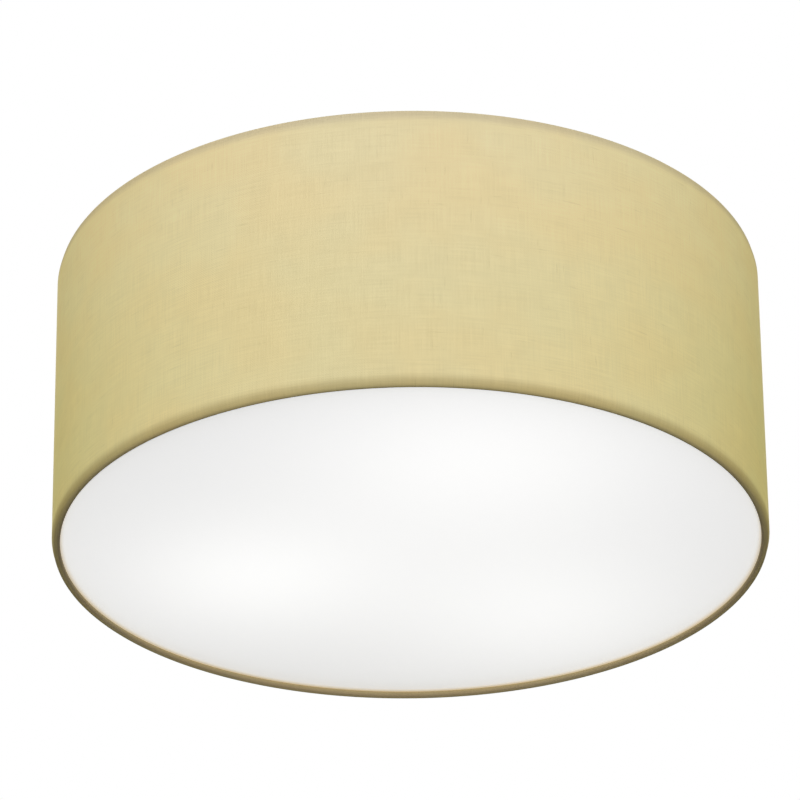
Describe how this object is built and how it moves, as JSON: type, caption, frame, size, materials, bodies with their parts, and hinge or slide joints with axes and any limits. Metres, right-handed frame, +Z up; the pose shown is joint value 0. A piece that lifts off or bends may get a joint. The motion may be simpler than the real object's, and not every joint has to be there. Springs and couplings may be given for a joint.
{
  "type": "flush mount ceiling light",
  "caption": "Flush mount drum ceiling light: fabric shade and opal diffuser, hung by a twist lock from a ceiling pan with E27 lamps.",
  "frame": {"origin": "centre of the mounting bar's top face, on the ceiling", "axes": "+Z up into the ceiling, +X along the mounting bar; the light hangs towards -Z"},
  "size_m": [0.5, 0.4999, 0.214],
  "materials": {
    "shade_fabric": "natural linen-look weave",
    "liner_film": "white backing film, matt",
    "white_wire": "white enamel",
    "opal_acrylic": "opal, satin",
    "white_enamel": "white enamel",
    "zinc_steel": "zinc plated",
    "brass": "plain",
    "holder_plastic": "white thermoplastic",
    "cap_metal": "nickel plated",
    "lamp_body_plastic": "white, satin",
    "lamp_globe_plastic": "opal white",
    "block_plastic": "natural white",
    "grey_rubber": "soft grey",
    "live_insulation": "brown insulation",
    "neutral_insulation": "blue insulation",
    "earth_insulation": "green and yellow insulation"
  },
  "bodies": {
    "base": {"mounting_bar": "zinc_steel", "pan_screws": "zinc_steel", "ceiling_pan": "white_enamel", "hanging_studs": "zinc_steel", "lamp_bracket": "white_enamel", "bracket_rivets": "zinc_steel", "lead_grommet": "grey_rubber", "terminal_block": "block_plastic", "earth_screw": "brass", "earth_lead": "earth_insulation", "live_leads": "live_insulation", "neutral_leads": "neutral_insulation", "holder_nipples": "brass", "holder_nuts": "brass", "lampholder_1": "holder_plastic", "lampholder_2": "holder_plastic", "lampholder_3": "holder_plastic", "screw_shell_1": "brass", "screw_shell_2": "brass", "screw_shell_3": "brass"},
    "contact_1": {"contact_pin_1": "brass"},
    "lamp_1": {"lamp_cap_1": "cap_metal", "lamp_housing_1": "lamp_body_plastic", "lamp_globe_1": "lamp_globe_plastic"},
    "contact_2": {"contact_pin_2": "brass"},
    "lamp_2": {"lamp_cap_2": "cap_metal", "lamp_housing_2": "lamp_body_plastic", "lamp_globe_2": "lamp_globe_plastic"},
    "contact_3": {"contact_pin_3": "brass"},
    "lamp_3": {"lamp_cap_3": "cap_metal", "lamp_housing_3": "lamp_body_plastic", "lamp_globe_3": "lamp_globe_plastic"},
    "shade": {"shade_cloth": "shade_fabric", "shade_liner": "liner_film", "top_ring": "white_wire", "bottom_ring": "white_wire", "arm_1": "white_wire", "arm_2": "white_wire", "arm_3": "white_wire"},
    "diffuser": {"diffuser": "opal_acrylic"}
  },
  "joints": [
    {"name": "shade_twist", "type": "hinge", "parent": "base", "child": "shade", "pos_m": [0, 0, -0.0232], "axis": [0, 0, -1], "range_deg": [0, 10]},
    {"name": "diffuser_lift", "type": "slide", "parent": "shade", "child": "diffuser", "axis": [0, 0, 1], "range_m": [0, 0.11]},
    {"name": "contact_1_travel", "type": "slide", "parent": "base", "child": "contact_1", "axis": [0, -1, 0], "range_m": [0, 0.00363]},
    {"name": "lamp_1_turn", "type": "hinge", "parent": "contact_1", "child": "lamp_1", "pos_m": [0, -0.1, -0.06], "axis": [0, -1, 0], "range_deg": [0, 360]},
    {"name": "contact_2_travel", "type": "slide", "parent": "base", "child": "contact_2", "axis": [0.866, 0.5, 0], "range_m": [0, 0.00363]},
    {"name": "lamp_2_turn", "type": "hinge", "parent": "contact_2", "child": "lamp_2", "pos_m": [0.0866, 0.05, -0.06], "axis": [0.866, 0.5, 0], "range_deg": [0, 360]},
    {"name": "contact_3_travel", "type": "slide", "parent": "base", "child": "contact_3", "axis": [-0.866, 0.5, 0], "range_m": [0, 0.00363]},
    {"name": "lamp_3_turn", "type": "hinge", "parent": "contact_3", "child": "lamp_3", "pos_m": [-0.0866, 0.05, -0.06], "axis": [-0.866, 0.5, 0], "range_deg": [0, 360]}
  ],
  "couplings": [
    {"joint": "contact_1_travel", "follows": "lamp_1_turn", "m_per_rad": 0.00057757},
    {"joint": "contact_2_travel", "follows": "lamp_2_turn", "m_per_rad": 0.00057757},
    {"joint": "contact_3_travel", "follows": "lamp_3_turn", "m_per_rad": 0.00057757}
  ]
}
